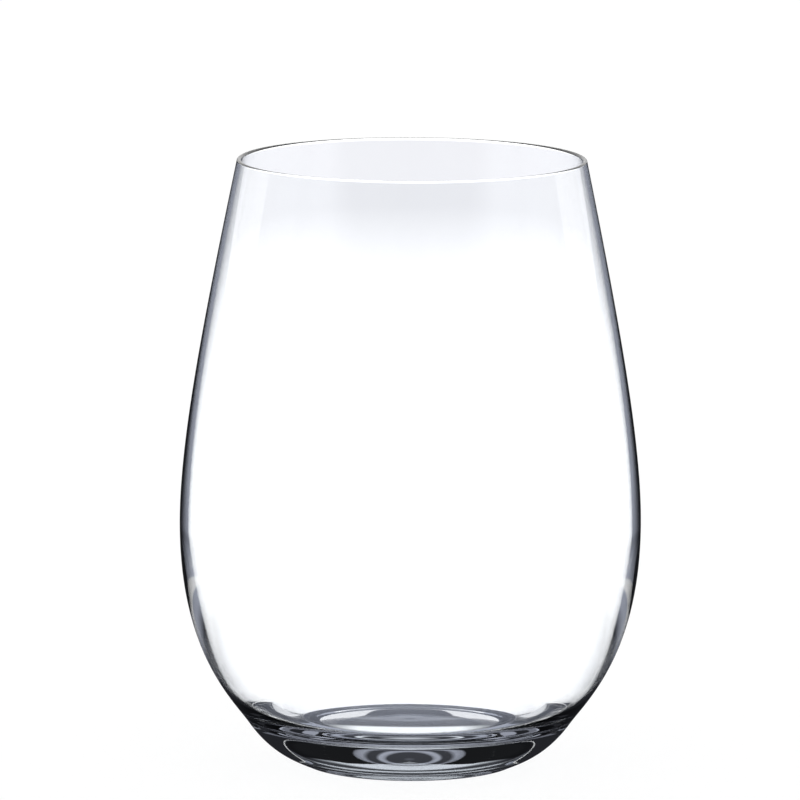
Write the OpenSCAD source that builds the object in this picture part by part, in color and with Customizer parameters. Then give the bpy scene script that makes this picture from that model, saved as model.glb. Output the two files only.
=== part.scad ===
// Stemless wine glass: one wall of clear crystal, turned about the Z axis.
// Z = 0 is the table it stands on. Lengths are millimetres, angles are degrees.
// The real glass is a single piece of glass. Its four zones, the rim, the upper and lower bowl
// and the base, are separate solids here that meet face to face on level planes.

/* [Outside] */
// Height from the table to the top of the lip
height = 126; // [110:1:142]
// Outer diameter of the mouth
mouth_d = 72.2; // [64:0.2:80]
// Angle by which the wall leans inwards at the mouth
mouth_lean = 11.7; // [6:0.1:16]
// Outer diameter at the widest part of the bowl
belly_d = 95.6; // [88:0.2:104]
// Height of the widest part
belly_z = 50; // [44:0.5:58]
// Outer diameter at the heel, where the bowl turns under
heel_d = 67.4; // [62:0.2:74]
// Height of the heel
heel_z = 8.7; // [7:0.1:11]
// Slope of the outside at the heel, from level
heel_slope = 55; // [46:1:62]

/* [Wall] */
// Thickness of the lip
lip_t = 0.95; // [0.8:0.05:1.6]
// Thickness of the wall at the widest part
belly_t = 1.7; // [1.2:0.1:2.6]
// Thickness of the glass at the heel, square to the outside
heel_t = 3.7; // [3.2:0.1:4.8]

/* [Base] */
// Height of the glass floor inside, in its middle
floor_z = 10.5; // [8.4:0.1:11.6]
// Slope of the inside where the wall runs into the floor, from level
floor_slope = 8; // [4:1:16]
// Outer diameter of the ring that the glass stands on
foot_d = 45; // [40:0.5:50]
// Width of the flat land of that ring
foot_land = 1.6; // [0.8:0.1:2.4]
// Slope of the outside where it leaves the ring, from level
foot_slope = 26; // [16:1:34]
// Height of the hollow under the base, in its middle
punt_h = 3.7; // [1.6:0.1:4.6]
// Slope of that hollow where it leaves the ring, from level
punt_slope = 31; // [18:1:40]

/* [Zones] */
// Height of the fire-polished rim zone, measured down from the lip
rim_h = 2.5; // [1.5:0.5:6]
// Height of the thick base zone
base_h = 14; // [13:0.5:18]

/* [Roundness of the curves] */
// Pull of each curve at its two ends, as shares of the straight line between them
mouth_share = 0.52; // [0.4:0.01:0.6]
belly_up_share = 0.2; // [0.12:0.01:0.4]
belly_down_share = 0.61; // [0.4:0.01:0.66]
heel_up_share = 0.14; // [0.08:0.01:0.24]
heel_down_share = 0.55; // [0.35:0.01:0.6]
foot_share = 0.18; // [0.1:0.01:0.3]
inner_belly_share = 0.4; // [0.3:0.01:0.5]
inner_heel_share = 0.19; // [0.14:0.01:0.3]
floor_share = 0.14; // [0.08:0.01:0.3]
flat_share = 0.74; // [0.5:0.01:0.8]
punt_share = 0.38; // [0.2:0.01:0.6]
// Steps along each curve
curve_steps = 24; // [12:2:40]

/* [Hidden] */
$fn = 96;

mouth_r = mouth_d / 2;
belly_r = belly_d / 2;
heel_r = heel_d / 2;
foot_r = foot_d / 2;
land_r = foot_r - foot_land;

// Where the zones meet
rim_z = height - rim_h;
// Room beyond the outline when a zone is cut from it
overrun = 1;

// Direction at an angle from level, as a unit vector
function heading(angle) = [cos(angle), sin(angle)];

// One point of a cubic curve from a to d, which leaves a towards b and reaches d from c
function curve_point(a, b, c, d, t) =
    pow(1 - t, 3) * a + 3 * pow(1 - t, 2) * t * b + 3 * (1 - t) * t * t * c + t * t * t * d;

// A curve between two points, with its heading at each and its pull there as a share of the chord.
// It starts one step along, so that runs of curves join with no point twice.
function curve(from, to, from_angle, to_angle, from_share, to_share) =
    let (chord = norm(to - from))
    [for (i = [1:curve_steps])
        curve_point(
            from,
            from + heading(from_angle) * chord * from_share,
            to - heading(to_angle) * chord * to_share,
            to,
            i / curve_steps
        )];

// The lip is a half circle set square across the leaning wall
lip_r = lip_t / 2;
lip_centre = [mouth_r - lip_r, height - lip_r];
lip_out = lip_centre + heading(mouth_lean) * lip_r;
lip_in = lip_centre - heading(mouth_lean) * lip_r;
lip_arc = [for (i = [1:curve_steps]) lip_centre + heading(mouth_lean + 180 * i / curve_steps) * lip_r];

// Points that the outside passes through
foot_out = [foot_r, 0];
heel_out = [heel_r, heel_z];
belly_out = [belly_r, belly_z];

// Points that the inside passes through, each one wall thickness from the outside
belly_in = belly_out - [belly_t, 0];
heel_in = heel_out + heading(heel_slope + 90) * heel_t;
floor_middle = [0, floor_z];

// The underside, from its middle out to the ring
punt_middle = [0, punt_h];
land_in = [land_r, 0];

// Half of a cut down the middle: up the outside, over the lip, down the inside, and back underneath
outline = concat(
    [foot_out],
    curve(foot_out, heel_out, foot_slope, heel_slope, foot_share, heel_down_share),
    curve(heel_out, belly_out, heel_slope, 90, heel_up_share, belly_down_share),
    curve(belly_out, lip_out, 90, 90 + mouth_lean, belly_up_share, mouth_share),
    lip_arc,
    curve(lip_in, belly_in, 270 + mouth_lean, 270, mouth_share, belly_up_share),
    curve(belly_in, heel_in, 270, 180 + floor_slope, inner_belly_share, inner_heel_share),
    curve(heel_in, floor_middle, 180 + floor_slope, 180, floor_share, flat_share),
    [punt_middle],
    curve(punt_middle, land_in, 0, -punt_slope, punt_share, punt_share)
);

// The part of the glass between two heights
module zone(low, high) {
    rotate_extrude()
        intersection() {
            polygon(outline);
            translate([0, low])
                square([belly_d, high - low]);
        }
}

// Thin fire-polished lip, and the first stretch of wall under it
module rim() {
    color("aliceblue", 0.4)
        zone(rim_z, height + overrun);
}

// Blown wall that leans in from the widest part to the mouth, and thins on the way
module upper_bowl() {
    color("azure", 0.4)
        zone(belly_z, rim_z);
}

// Blown wall that turns under from the widest part to the base
module lower_bowl() {
    color("lightcyan", 0.4)
        zone(base_h, belly_z);
}

// Thick heel and floor, with the shallow hollow underneath and the ring it stands on
module base() {
    color("lightsteelblue", 0.4)
        zone(-overrun, base_h);
}

rim();
upper_bowl();
lower_bowl();
base();
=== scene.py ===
# %% [markdown]
# # A stemless wine glass in a white studio
# The real object is one piece of clear glass, blown in a mould, cut at the top and melted smooth at
# the lip. This lesson loads its CAD model, builds one fine mesh for the whole glass, gives it the
# material of clear crystal, and lights it the way glassware is photographed: bright behind, dark
# at the sides, so that the edges draw themselves.

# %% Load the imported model
import math

import bmesh
import bpy
from mathutils import Matrix, Vector


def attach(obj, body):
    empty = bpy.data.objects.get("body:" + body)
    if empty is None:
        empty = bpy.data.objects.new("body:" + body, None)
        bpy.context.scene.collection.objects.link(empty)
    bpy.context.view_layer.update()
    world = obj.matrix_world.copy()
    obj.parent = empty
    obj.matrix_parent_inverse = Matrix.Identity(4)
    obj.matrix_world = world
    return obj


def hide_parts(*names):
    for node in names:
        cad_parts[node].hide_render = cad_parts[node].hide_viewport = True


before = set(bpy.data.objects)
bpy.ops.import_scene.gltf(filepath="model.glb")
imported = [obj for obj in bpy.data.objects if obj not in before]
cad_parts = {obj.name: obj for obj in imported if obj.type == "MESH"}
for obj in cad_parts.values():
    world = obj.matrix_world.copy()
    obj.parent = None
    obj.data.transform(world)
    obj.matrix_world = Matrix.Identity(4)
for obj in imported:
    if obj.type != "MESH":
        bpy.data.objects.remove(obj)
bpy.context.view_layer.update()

# %% [markdown]
# ## The outline
# A glass that is turned about an axis is known by half of one cut through it. The CAD splits the
# glass into zones with level cuts, but real glass has no cuts, and a refracted picture would show
# them. So the same outline is drawn again here, from the same sizes in millimetres, and much
# finer: in a clear solid each small facet throws its own image.

# %% Sizes of the glass
MM = 0.001

# Outside, in millimetres. Leans and slopes are in degrees
height = 126.0
mouth_d = 72.2
mouth_lean = 11.7
belly_d = 95.6
belly_z = 50.0
heel_d = 67.4
heel_z = 8.7
heel_slope = 55.0

# Thickness of the wall
lip_t = 0.95
belly_t = 1.7
heel_t = 3.7

# Floor, foot ring and the hollow underneath
floor_z = 10.5
floor_slope = 8.0
foot_d = 45.0
foot_land = 1.6
foot_slope = 26.0
punt_h = 3.7
punt_slope = 31.0

# How far the ends of each curve pull
mouth_share = 0.52
belly_up_share = 0.2
belly_down_share = 0.61
heel_up_share = 0.14
heel_down_share = 0.55
foot_share = 0.18
inner_belly_share = 0.4
inner_heel_share = 0.19
floor_share = 0.14
flat_share = 0.74
punt_share = 0.38

print(f"glass {height:g} mm tall, {belly_d:g} mm across, {lip_t:g} mm thick at the lip")

# %% [markdown]
# ### Smooth curves between the sizes
# Each stretch of the outline is a cubic curve that leaves one point in one direction and reaches
# the next in another, so neighbouring stretches meet without a kink. How far each end pulls is
# given as a share of the straight distance.

# %% Curve helpers
# Directions and turns in degrees
OUTWARD, UP, INWARD, DOWN = 0, 90, 180, 270
RIGHT_ANGLE, HALF_TURN = 90, 180


def heading(angle):
    """Unit vector at an angle from level, in degrees."""
    return Vector((math.cos(math.radians(angle)), math.sin(math.radians(angle))))


def curve(start, end, start_angle, end_angle, start_share, end_share, steps):
    """Points of a cubic curve, beginning one step after its start."""
    chord = (end - start).length
    pull_start = start + heading(start_angle) * chord * start_share
    pull_end = end - heading(end_angle) * chord * end_share
    points = []
    for i in range(1, steps + 1):
        t = i / steps
        s = 1 - t
        near_start = s**3 * start + 3 * s * s * t * pull_start
        points.append(near_start + 3 * s * t * t * pull_end + t**3 * end)
    return points


print("a heading of 45 degrees is", tuple(round(part, 3) for part in heading(45)))

# %% [markdown]
# ### The points where the curves meet
# The lip is half a circle, melted round by the flame, and leans in with the wall. The thickness of
# the heel is measured square to its slope, as a caliper would, and the hollow underneath, which
# glassmakers call the punt, starts at the inner edge of the land that touches the table.

# %% Points that the outline passes through
lip_r = lip_t / 2
lip_centre = Vector((mouth_d / 2 - lip_r, height - lip_r))
lip_out = lip_centre + heading(mouth_lean) * lip_r
lip_in = lip_centre - heading(mouth_lean) * lip_r

foot_out = Vector((foot_d / 2, 0))
heel_out = Vector((heel_d / 2, heel_z))
belly_out = Vector((belly_d / 2, belly_z))
belly_in = belly_out - Vector((belly_t, 0))
heel_in = heel_out + heading(heel_slope + RIGHT_ANGLE) * heel_t
floor_middle = Vector((0, floor_z))
punt_middle = Vector((0, punt_h))
land_in = Vector((foot_d / 2 - foot_land, 0))
print(f"inner heel at radius {heel_in.x:.1f} mm, {heel_in.y:.1f} mm up")

# %% [markdown]
# ### Up the outside, over the lip and down the inside
# The outline goes once round the cut: from the foot ring up the outside, over the lip, down the
# inside to the middle of the floor, and through the hollow back to the ring. Smooth shading bends
# the surface between two points, so where the tight lip meets the long wall it would fake a prism.
# A point close to each end of the lip holds the direction of the wall there and keeps it plain.

# %% The whole outline
WALL_STEPS = 48
BASE_STEPS = 64
LIP_STEPS = 24
LIP_HOLD = 0.06

up_wall, down_wall = UP + mouth_lean, DOWN + mouth_lean
to_floor = INWARD + floor_slope
lip_turns = [mouth_lean + HALF_TURN * i / LIP_STEPS for i in range(1, LIP_STEPS + 1)]

outline = [foot_out]
outline += curve(foot_out, heel_out, foot_slope, heel_slope, foot_share, heel_down_share, BASE_STEPS)
outline += curve(heel_out, belly_out, heel_slope, UP, heel_up_share, belly_down_share, WALL_STEPS)
outline += curve(belly_out, lip_out, UP, up_wall, belly_up_share, mouth_share, WALL_STEPS)
outline.insert(-1, lip_out - heading(up_wall) * LIP_HOLD)
outline += [lip_centre + heading(turn) * lip_r for turn in lip_turns]
outline += [lip_in + heading(down_wall) * LIP_HOLD]
outline += curve(lip_in, belly_in, down_wall, DOWN, mouth_share, belly_up_share, WALL_STEPS)
outline += curve(belly_in, heel_in, DOWN, to_floor, inner_belly_share, inner_heel_share, BASE_STEPS)
outline += curve(heel_in, floor_middle, to_floor, INWARD, floor_share, flat_share, BASE_STEPS)
outline += [punt_middle]
outline += curve(punt_middle, land_in, OUTWARD, -punt_slope, punt_share, punt_share, BASE_STEPS)
print(len(outline), "points in the outline")

# %% [markdown]
# ## The glass as one mesh
# Blender's Screw modifier could turn the outline, but it leaves the middle of the floor and of the
# hollow underneath as many points on top of each other, and clear glass shows that as a dark star.
# Building the rings with bmesh takes a few lines and closes each middle with one vertex.

# %% Turn the outline
TURN_STEPS = 224


def turned(name, points, steps):
    """A closed mesh from half an outline in millimetres, turned about Z."""
    mesh = bpy.data.meshes.new(name)
    build = bmesh.new()
    rings = []
    for point in points:
        if point.x == 0:
            rings.append([build.verts.new((0, 0, point.y * MM))])
            continue
        ring = []
        for i in range(steps):
            turn = 2 * math.pi * i / steps
            across, along = point.x * math.cos(turn), point.x * math.sin(turn)
            ring.append(build.verts.new((across * MM, along * MM, point.y * MM)))
        rings.append(ring)
    for here, there in zip(rings, rings[1:] + rings[:1]):
        if len(here) == 1 and len(there) == 1:
            continue
        for i in range(steps):
            j = (i + 1) % steps
            if len(here) == 1:
                build.faces.new((here[0], there[j], there[i]))
            elif len(there) == 1:
                build.faces.new((here[i], here[j], there[0]))
            else:
                build.faces.new((here[i], here[j], there[j], there[i]))
    bmesh.ops.recalc_face_normals(build, faces=build.faces[:])
    build.to_mesh(mesh)
    build.free()
    thing = bpy.data.objects.new(name, mesh)
    bpy.context.scene.collection.objects.link(thing)
    return thing


glass = turned("glass_body", outline, TURN_STEPS)
for face in glass.data.polygons:
    face.use_smooth = True
print(len(glass.data.polygons), "faces in the glass")

# %% [markdown]
# ### Keep the edges of the foot ring crisp
# Smooth shading rounds every edge. The ring that the glass stands on has two real edges, where its
# ground face ends, and they are marked sharp so that light breaks there as it does in the
# photograph. They are the edges that lie on the table and run round it.

# %% Sharp edges of the foot ring
SAME = 1e-7

for edge in glass.data.edges:
    a, b = (glass.data.vertices[i].co for i in edge.vertices)
    level = abs(a.z) < SAME and abs(b.z) < SAME
    same_ring = abs(math.hypot(a.x, a.y) - math.hypot(b.x, b.y)) < SAME
    edge.use_edge_sharp = level and same_ring
print(sum(edge.use_edge_sharp for edge in glass.data.edges), "sharp edges round the foot ring")

# %% [markdown]
# ## Colours and nodes
# A colour is written as the hex value that a colour picker shows, and turned to the linear value
# that a renderer adds up. The constants are those of the sRGB standard. A tone of light may be
# brighter than white, which a strength above 1 gives. All nodes are added by one small function.

# %% Colour and node helpers
def srgb(code, strength=1.0):
    """Linear colour from an sRGB hex value, made brighter by a strength."""
    parts = [int(code[i : i + 2], 16) / 255 for i in (0, 2, 4)]
    linear = [c / 12.92 if c <= 0.04045 else ((c + 0.055) / 1.055) ** 2.4 for c in parts]
    return tuple(c * strength for c in linear) + (1.0,)


def add_node(tree, kind, inputs=None, stops=(), **settings):
    """Adds a node with its settings and colour stops, and its inputs as values or links."""
    node = tree.nodes.new(kind)
    for key, value in settings.items():
        setattr(node, key, value)
    for place, _ in stops[1:-1]:
        node.color_ramp.elements.new(place)
    for i, (_, colour) in enumerate(stops):
        node.color_ramp.elements[i].color = colour
    for key, value in (inputs or {}).items():
        if isinstance(value, bpy.types.NodeSocket):
            tree.links.new(value, node.inputs[key])
        else:
            node.inputs[key].default_value = value
    return node


print("a mid grey of 808080 is", round(srgb("808080")[0], 3), "in linear light")

# %% [markdown]
# ## Clear crystal
# The material is lead-free crystal, fire-polished inside and out. Its surface is as smooth as a
# liquid, so its roughness is zero, and all that the eye reads is refraction. Only the ring that
# stands on the table is worn: years of being slid about leave it faintly frosted, in scuffs that
# noise can draw.

# %% Clear crystal material
CRYSTAL = "FDFEFF"
CRYSTAL_IOR = 1.52
# How far up the frosting begins to fade and where it ends, in metres
LAND_FADES = (0.00002, 0.00012)
# Real scuffs are a tenth of this, and too fine to show
SCUFF_MM = 1.1
SCUFF_DETAIL = 4.0
LAND_ROUGHNESS = 0.5
# What two surfaces of glass let through to the shadow on the table
SHADOW_TINT = "F7F8F9"

crystal = bpy.data.materials.new("clear_crystal")
crystal.use_nodes = True
tree = crystal.node_tree
tree.nodes.clear()

place = add_node(tree, "ShaderNodeTexCoord").outputs["Object"]
lift = add_node(tree, "ShaderNodeSeparateXYZ", {0: place}).outputs["Z"]
grain = {"Vector": place, "Scale": 1 / (SCUFF_MM * MM), "Detail": SCUFF_DETAIL}
scuffs = add_node(tree, "ShaderNodeTexNoise", grain).outputs["Fac"]
fades = {"Value": lift, "From Min": LAND_FADES[0], "From Max": LAND_FADES[1]}
fades.update({"To Min": LAND_ROUGHNESS, "To Max": 0.0})
rough_land = add_node(tree, "ShaderNodeMapRange", fades).outputs["Result"]
worn = {0: rough_land, 1: scuffs}
frosting = add_node(tree, "ShaderNodeMath", worn, operation="MULTIPLY").outputs[0]
look = {"Base Color": srgb(CRYSTAL), "Roughness": frosting}
look.update({"IOR": CRYSTAL_IOR, "Transmission Weight": 1.0})
body = add_node(tree, "ShaderNodeBsdfPrincipled", look).outputs[0]
print(f"crystal with an IOR of {CRYSTAL_IOR:g}, and scuffs of {SCUFF_MM:g} mm on the land")

# %% [markdown]
# ### A light shadow
# A renderer treats clear glass as solid when it looks for shadows, and would leave a black patch.
# Real glass lets most light by, so rays that only ask for light pass straight through it here.

# %% Let light by
path = add_node(tree, "ShaderNodeLightPath").outputs
asks_for_light = {0: path["Is Shadow Ray"], 1: path["Is Diffuse Ray"]}
lets_light_by = add_node(tree, "ShaderNodeMath", asks_for_light, operation="MAXIMUM").outputs[0]
unseen = add_node(tree, "ShaderNodeBsdfTransparent", {"Color": srgb(SHADOW_TINT)}).outputs[0]
mixed = add_node(tree, "ShaderNodeMixShader", {0: lets_light_by, 1: body, 2: unseen}).outputs[0]
add_node(tree, "ShaderNodeOutputMaterial", {"Surface": mixed})
glass.data.materials.append(crystal)
print(len(tree.nodes), "nodes in the crystal")

# %% [markdown]
# ## The glass in place of its CAD zones
# Nothing on the glass moves, so the mesh rides on the only body. It takes the place of all the
# zones of the CAD model, because the real glass has no joint between them.

# %% Put the glass on its body
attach(glass, "root")
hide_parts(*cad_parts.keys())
print("the glass replaces", ", ".join(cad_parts.keys()))

# %% [markdown]
# ## The studio
# Clear glass shows no colour of its own, only what stands around it. It is photographed on a white
# table in front of a bright wall, with black flags to the left and right and bars of light
# overhead: light that comes straight through is white, and light that bends far in the thick base
# or along an edge finds the flags, the bars and the dark gaps between them.
# Real flags would stand in the way of a camera that walks round the glass, so they are written
# into the materials of the table and the world, for rays that have met the glass, and the table
# carries painted shade and light as well. Everything else sees plain white.

# %% [markdown]
# ### Layers of tone
# Both materials are built like a collage: a first tone, and further tones laid over it, each only
# where some measures lie past a step. A measure is anything that a node can tell about the ray or
# the place it lands on. A step runs from the value where the tone begins to show to the value
# where it covers all, and the other way round when the tone belongs below it. The Mix node keeps
# its sockets for colours behind those for numbers and vectors, so they go by their place.

# %% Layers of tone
MIX_FACTOR, MIX_UNDER, MIX_OVER, MIX_RESULT = 0, 6, 7, 2


def layered(tree, tone, layers):
    """Lays tones over a first one. A layer is a tone and its steps: measure, begins, covers all."""
    for over, steps in layers:
        mask = 1.0
        for measure, begins, covers in steps:
            ends = {"Value": measure, "From Min": begins, "From Max": covers, "To Max": mask}
            mask = add_node(tree, "ShaderNodeMapRange", ends).outputs["Result"]
        tones = {MIX_FACTOR: mask, MIX_UNDER: tone, MIX_OVER: over}
        tone = add_node(tree, "ShaderNodeMix", tones, data_type="RGBA").outputs[MIX_RESULT]
    return tone


# %% [markdown]
# ### Which way a ray has come
# The Light Path node counts how often a ray went through a surface and how often it bounced. That
# is enough to tell the kinds of ray apart that a photographer thinks in. A ray that only glanced
# off the outside has crossed no surface, a ray through one wall of the bowl has crossed two, and a
# ray through both walls has crossed four. A ray with no bounce at all has come straight through.
# Counts are whole numbers, so each step lies between two of them.

# %% Steps between whole counts
NOT_MET = (1, 0)
NO_BOUNCE = (0.6, 0.4)
NOTHING_CROSSED = (0.6, 0.4)
ONE_WALL = (1.4, 1.6)
BOTH_WALLS = (3.4, 3.6)
print(f"a ray counts as through both walls past {BOTH_WALLS[0]:g} crossings")

# %% [markdown]
# ### Tones of the studio
# These are painted tones of light and shade, seen only by rays that have met the glass. Most are
# slightly cool greys, as daylight lamps are beside a warm wall. Some get a strength above 1. Each
# surface of the glass reflects a few percent, and much more near an edge, so a ray through both
# walls loses up to half of its light, and the wall behind is painted brighter than white to make
# up for it, as a photographer lights it brighter. Further off it falls to a pale grey, which gives
# the mouth its soft tone against the white background.

# %% Tones
WHITE = srgb("FFFFFF")
# Painted light that rays straight through the glass see, near the glass and further off
WALL_NEAR = srgb("FFFFFF", 1.7)
WALL_FAR = srgb("F7F7FB")
# Painted shade of the base, and painted light on the table round and behind the foot
PAINTED_SHADE = srgb("242529")
PAINTED_TABLE_LIGHT = srgb("B1B6C4")
PAINTED_LIGHT_BEHIND_FOOT = srgb("747781")
PAINTED_GLOW_ROUND_FOOT = srgb("A0A4B1")
# Painted light on the table for rays that bounced through both walls
BOUNCED_CLOSE = srgb("FFFFFF", 1.2)
BOUNCED_NEAR = srgb("FFFFFF", 2.0)
BOUNCED_FAR = srgb("CBCBCB")
BOUNCED_FRONT = srgb("E7E7E7")
print(f"the wall is lit at {WALL_NEAR[0]:g} near the glass and at {WALL_FAR[0]:.2f} far off")

# %% [markdown]
# ### White table
# The table is a plain plane, wide enough that its far edge is never seen.

# %% White table
REACH = 40.0

table_mesh = bpy.data.meshes.new("white_table")
corners = [(-REACH, -REACH, 0), (REACH, -REACH, 0), (REACH, REACH, 0), (-REACH, REACH, 0)]
table_mesh.from_pydata(corners, [], [(0, 1, 2, 3)])
table = bpy.data.objects.new("white_table", table_mesh)
bpy.context.scene.collection.objects.link(table)
print(f"white table, {2 * REACH:g} m across")

# %% [markdown]
# ### White acrylic for the table
# The table is opal acrylic, lit from below: it glows white by itself and keeps a soft shadow. What
# the glass shows of it is painted light and shade, which depends on the place on the table: how far
# it is from the middle, how far to the side and how far ahead, in metres, and on the length of the
# ray's last stretch.

# %% Measures on the table
acrylic = bpy.data.materials.new("opal_acrylic")
acrylic.use_nodes = True
tree = acrylic.node_tree
tree.nodes.clear()

path = add_node(tree, "ShaderNodeLightPath").outputs
crossed, bounces, length = path["Transmission Depth"], path["Glossy Depth"], path["Ray Length"]
met = {0: path["Is Glossy Ray"], 1: path["Is Transmission Ray"]}
met_glass = add_node(tree, "ShaderNodeMath", met, operation="MAXIMUM").outputs[0]

position = add_node(tree, "ShaderNodeNewGeometry").outputs["Position"]
away = add_node(tree, "ShaderNodeVectorMath", {0: position}, operation="LENGTH").outputs["Value"]
spot = add_node(tree, "ShaderNodeSeparateXYZ", {0: position}).outputs
beside = add_node(tree, "ShaderNodeMath", {0: spot["X"]}, operation="ABSOLUTE").outputs[0]
ahead = spot["Y"]
print(len(tree.nodes), "nodes measure the ray and the place on the table")

# %% [markdown]
# ### Straight through the glass
# Straight through both walls lies the table, painted with light brighter than white near the glass.
# Straight through the floor of the glass lies a painted pattern of light and shade under its hollow,
# standing for what the thick base throws on the table: bright in front, dark in the middle, grey
# behind, and dark at both sides. The steps are in metres.

# %% Straight through
# Painted pattern of light and shade on the table under the hollow
PAINTED_HOLLOW_LIGHT = srgb("FAFDFF", 1.5)
PAINTED_HOLLOW_SHADE = srgb("5A5B5E")
PAINTED_HOLLOW_GREY_BEHIND = srgb("96989C")
PAINTED_HOLLOW_SIDE_SHADE = srgb("4B4D54")

HOLLOW_EDGE = (0.0227, 0.0223)
MIDDLE_BEGINS = (-0.0113, -0.0081)
BACK_BEGINS = (0.0063, 0.0126)
SIDE_BEGINS = (0.011, 0.018)
WALL_FALLS_OFF = (0.40, 0.85)

hollow = layered(tree, PAINTED_HOLLOW_LIGHT, [
    (PAINTED_HOLLOW_SHADE, [(ahead, *MIDDLE_BEGINS)]),
    (PAINTED_HOLLOW_GREY_BEHIND, [(ahead, *BACK_BEGINS)]),
    (PAINTED_HOLLOW_SIDE_SHADE, [(beside, *SIDE_BEGINS)]),
])
straight = layered(tree, WALL_NEAR, [
    (WALL_FAR, [(away, *WALL_FALLS_OFF)]),
    (hollow, [(away, *HOLLOW_EDGE)]),
])
print("straight rays see the lit table and the pattern under the hollow")

# %% [markdown]
# ### Bounced through both walls
# Light that bounced on its way through both walls makes the bright inner border of each wall, so
# the table is painted with strong light for it at a middle distance. In line with the middle of the
# base it ends in painted shade.

# %% Bounced
BESIDE_MIDDLE = (0.0115, 0.0125)
CLOSE_TO_NEAR = (0.10, 0.20)
NEAR_TO_FAR = (0.30, 0.60)
IN_FRONT = (-0.08, -0.12)

# Painted shade, with painted light at a middle distance
bounced = layered(tree, PAINTED_SHADE, [
    (BOUNCED_CLOSE, [(beside, *BESIDE_MIDDLE)]),
    (BOUNCED_NEAR, [(away, *CLOSE_TO_NEAR)]),
    (BOUNCED_FAR, [(away, *NEAR_TO_FAR)]),
    (BOUNCED_FRONT, [(ahead, *IN_FRONT)]),
])
print("bounced rays see a table that is brightest at a middle distance")

# %% [markdown]
# ### Bent in the wall or the base
# Close by, the table is painted with the shade of the base, which draws the dark edges. Further off
# it is painted lit, apart from a painted dark stretch far ahead, which draws the thin outer line of
# the bowl. Behind the foot and in a ring round it, painted light stands for the light the base
# throws. Light from the lip comes from higher up than any other that lands so close, and is painted
# white to keep the mouth's edge pale. Rays that only glanced off the outside see painted shade. A
# ray through one wall alone has come straight through if it goes on for a tenth of a metre, and out
# of the base otherwise.

# %% Bent
SHADE_ENDS = (0.108, 0.124)
DARK_AHEAD = (0.16, 0.24)
DARK_AHEAD_SIDE = (0.20, 0.10)
BEHIND_FROM = (0.0415, 0.0425)
BEHIND_TO = (0.1005, 0.0995)
BEHIND_SIDE = (0.0305, 0.0295)
GLOW_FROM = (0.0223, 0.0227)
GLOW_TO = (0.0305, 0.0295)
GLOW_SIDE = (0.0165, 0.0175)
LIP_LENGTH = (0.1245, 0.1255)
LIP_REACH = (0.1505, 0.1495)
WALL_LENGTH = (0.08, 0.12)

# Painted shade of the base, painted light further off, round the foot and from the lip
seen = layered(tree, PAINTED_SHADE, [
    (PAINTED_TABLE_LIGHT, [(away, *SHADE_ENDS)]),
    (PAINTED_SHADE, [(away, *DARK_AHEAD), (beside, *DARK_AHEAD_SIDE)]),
    (PAINTED_LIGHT_BEHIND_FOOT, [(ahead, *BEHIND_FROM), (ahead, *BEHIND_TO), (beside, *BEHIND_SIDE)]),
    (PAINTED_GLOW_ROUND_FOOT, [(away, *GLOW_FROM), (away, *GLOW_TO), (beside, *GLOW_SIDE)]),
    (WHITE, [(length, *LIP_LENGTH), (away, *LIP_REACH)]),
    (bounced, [(crossed, *BOTH_WALLS)]),
    (PAINTED_SHADE, [(crossed, *NOTHING_CROSSED)]),
    (straight, [(crossed, *BOTH_WALLS), (bounces, *NO_BOUNCE)]),
    (straight, [(crossed, *ONE_WALL), (bounces, *NO_BOUNCE), (length, *WALL_LENGTH)]),
])
through_glass = add_node(tree, "ShaderNodeEmission", {"Color": seen}).outputs[0]
print(len(tree.nodes), "nodes to tell what a ray through the glass sees of the table")

# %% [markdown]
# ### Without glass in the way
# The camera sees the glow of the acrylic, with enough plain white in it to take the shadow of the
# glass. Light for the shadow falls on plain white alone.

# %% Without glass in the way
PLAIN_WHITE = srgb("F3F3F3")
GLOW = 1.05
SHADOW_SHARE = 0.25

plain = add_node(tree, "ShaderNodeBsdfDiffuse", {"Color": PLAIN_WHITE}).outputs[0]
glow = add_node(tree, "ShaderNodeEmission", {"Color": WHITE, "Strength": GLOW}).outputs[0]
glowing = add_node(tree, "ShaderNodeMixShader", {0: SHADOW_SHARE, 1: glow, 2: plain}).outputs[0]
by_camera = {0: path["Is Camera Ray"], 1: plain, 2: glowing}
bare = add_node(tree, "ShaderNodeMixShader", by_camera).outputs[0]
by_glass = {0: met_glass, 1: bare, 2: through_glass}
surface = add_node(tree, "ShaderNodeMixShader", by_glass).outputs[0]
add_node(tree, "ShaderNodeOutputMaterial", {"Surface": surface})
table.data.materials.append(acrylic)
print(len(tree.nodes), "nodes in the table's acrylic")

# %% [markdown]
# ### White surroundings with flags and bars
# The world is white. For rays that were bent or bounced inside the glass it carries the flags,
# which go by the turn to the side in degrees, and above them the bars, which lie across the
# ceiling and so go by how far ahead of the glass they are. Height and distance ahead are parts of
# a unit vector.

# %% Measures of the surroundings
world = bpy.data.worlds.new("white_studio")
bpy.context.scene.world = world
world.use_nodes = True
tree = world.node_tree
tree.nodes.clear()

path = add_node(tree, "ShaderNodeLightPath").outputs
crossed, bounces = path["Transmission Depth"], path["Glossy Depth"]
met = {0: path["Is Glossy Ray"], 1: path["Is Transmission Ray"]}
met_glass = add_node(tree, "ShaderNodeMath", met, operation="MAXIMUM").outputs[0]

direction = add_node(tree, "ShaderNodeTexCoord").outputs["Generated"]
aim = add_node(tree, "ShaderNodeSeparateXYZ", {0: direction}).outputs
ahead, height_up = aim["Y"], aim["Z"]
angle = add_node(tree, "ShaderNodeMath", {0: aim["X"], 1: ahead}, operation="ARCTAN2").outputs[0]
turned_away = add_node(tree, "ShaderNodeMath", {0: angle}, operation="ABSOLUTE").outputs[0]
turn = add_node(tree, "ShaderNodeMath", {0: turned_away}, operation="DEGREES").outputs[0]
print(len(tree.nodes), "nodes measure the ray and the direction it goes in")

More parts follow.
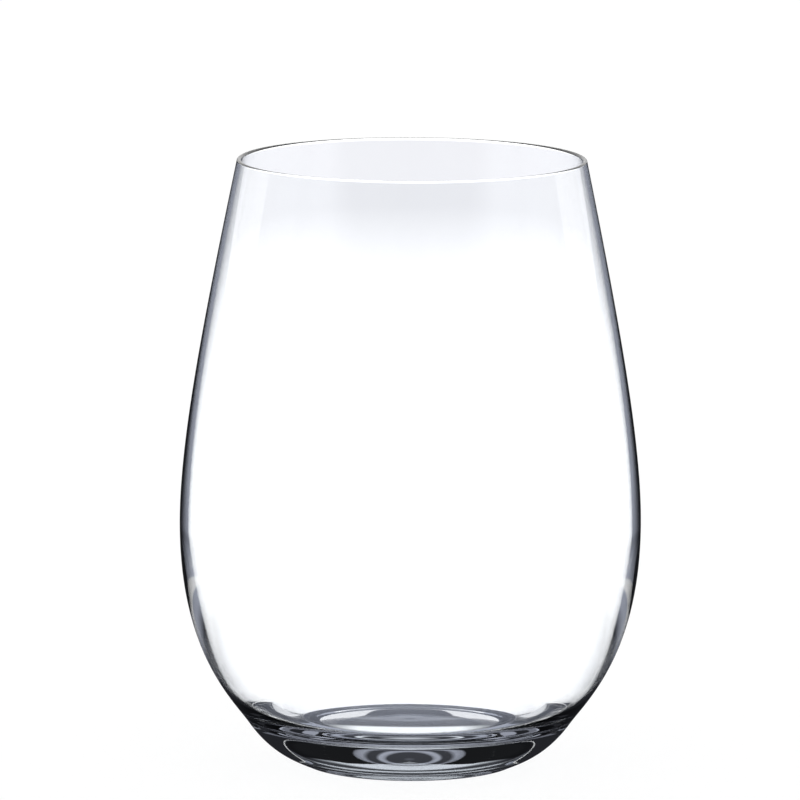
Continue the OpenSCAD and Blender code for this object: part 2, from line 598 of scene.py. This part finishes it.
# %% [markdown]
# ### Black flags
# A flag is a board of black cloth beside the glass. Its image at both sides of the base makes the
# black areas there. Light that spills round its edge leaves a grey strip, but not high up.

# %% Flags at both sides
FLAG_EDGE = srgb("898989")
FLAG_BLACK = srgb("191919")
FLAG_EDGE_BEGINS = (42.8, 43.4)
FLAG_EDGE_ENDS_UP = (0.62, 0.47)
FLAG_BLACK_BEGINS = (51.0, 52.6)

flags = layered(tree, WHITE, [
    (FLAG_EDGE, [(turn, *FLAG_EDGE_BEGINS), (height_up, *FLAG_EDGE_ENDS_UP)]),
    (FLAG_BLACK, [(turn, *FLAG_BLACK_BEGINS)]),
])
print(f"black flags from {FLAG_BLACK_BEGINS[0]:g} degrees to each side")

# %% [markdown]
# ### Bars of light
# Long lamps hang across the ceiling with dark gaps between them. The base squeezes all of them
# into a few thin streaks, so those near straight ahead are drawn narrow here. A colour ramp holds
# them, with two stops for each.

# %% Bars of light overhead
LIT, DIM, FAINT, GAP = srgb("F1F7FF"), srgb("B1B6C4"), srgb("7B7E89"), srgb("414349")
# Each bar or gap: where it begins, where it ends, its tone. 0 is overhead, 1 straight ahead
BARS = [
    (0.0, 0.40, LIT),
    (0.51, 0.58, GAP),
    (0.615, 0.634, LIT),
    (0.650, 0.74, GAP),
    (0.79, 0.84, DIM),
    (0.862, 0.885, GAP),
    (0.890, 0.897, DIM),
    (0.902, 0.915, GAP),
    (0.920, 0.925, DIM),
    (0.930, 0.96, FAINT),
    (0.99, 1.0, DIM),
]
LOW_SKY = srgb("C0C5D4")
BARS_BEGIN_UP = (0.29, 0.315)

stops = [(end, tone) for bar in BARS for end, tone in ((bar[0], bar[2]), (bar[1], bar[2]))]
overhead = add_node(tree, "ShaderNodeValToRGB", {0: ahead}, stops=stops).outputs["Color"]
bars = layered(tree, LOW_SKY, [(overhead, [(height_up, *BARS_BEGIN_UP)])])
print(len(BARS), "bars and gaps overhead")

# %% [markdown]
# ### Put the surroundings together
# A flag hangs in front of what is behind it, so flags and bars are multiplied. Glancing light sees
# painted shade, which draws a dark line along the edges of the glass, but white where it carries on
# towards the wall. Straight rays see the wall itself, and whatever hasn't met the glass sees plain
# white.

# %% The world
GLANCED_AHEAD = (0.29, 0.31)

both = {MIX_FACTOR: 1.0, MIX_UNDER: flags, MIX_OVER: bars}
hung = add_node(tree, "ShaderNodeMix", both, data_type="RGBA", blend_type="MULTIPLY")
# Glancing rays see painted shade, which draws the dark edges of the glass
sky = layered(tree, hung.outputs[MIX_RESULT], [
    (PAINTED_SHADE, [(crossed, *NOTHING_CROSSED)]),
    (WHITE, [(crossed, *NOTHING_CROSSED), (ahead, *GLANCED_AHEAD)]),
    (WALL_FAR, [(crossed, *ONE_WALL), (bounces, *NO_BOUNCE)]),
    (WHITE, [(met_glass, *NOT_MET)]),
])
backdrop = add_node(tree, "ShaderNodeBackground", {"Color": sky, "Strength": 1.0}).outputs[0]
add_node(tree, "ShaderNodeOutputWorld", {"Surface": backdrop})
print(len(tree.nodes), "nodes in the world")

# %% [markdown]
# ## Camera
# The photograph looks slightly down on the glass with a long lens from some distance, so that the
# near and the far side of the mouth are almost the same width. The lens and the tilt were fitted to
# the ellipse of the mouth and the outline of the bowl. The fit gives the focal length in pixels of
# the photograph, which the width of Blender's sensor turns to millimetres.

# %% Camera
PICTURE = 800
SENSOR = 36.0
FOCAL_PIXELS = 7832.0
# Places in metres, angles in degrees
CAMERA_PLACE = (-0.00225, -1.600, 0.3297)
LOOKS_DOWN = 9.02
ROLL = 0.25
SEES_TO = 100.0

eye = bpy.data.cameras.new("camera")
eye.sensor_width = SENSOR
eye.lens = FOCAL_PIXELS * SENSOR / PICTURE
eye.clip_end = SEES_TO
camera = bpy.data.objects.new("camera", eye)
bpy.context.scene.collection.objects.link(camera)
camera.location = CAMERA_PLACE
tilt = Matrix.Rotation(math.radians(90 - LOOKS_DOWN), 3, "X")
roll = Matrix.Rotation(math.radians(ROLL), 3, "Z")
camera.rotation_euler = (tilt @ roll).to_euler()
bpy.context.scene.camera = camera
print(f"lens of {eye.lens:.0f} mm, looking {LOOKS_DOWN:g} degrees down")

# %% [markdown]
# ## Finish
# The Standard view shows each tone as it is written, without a film look.

# %% Standard view
bpy.context.scene.view_settings.view_transform = "Standard"
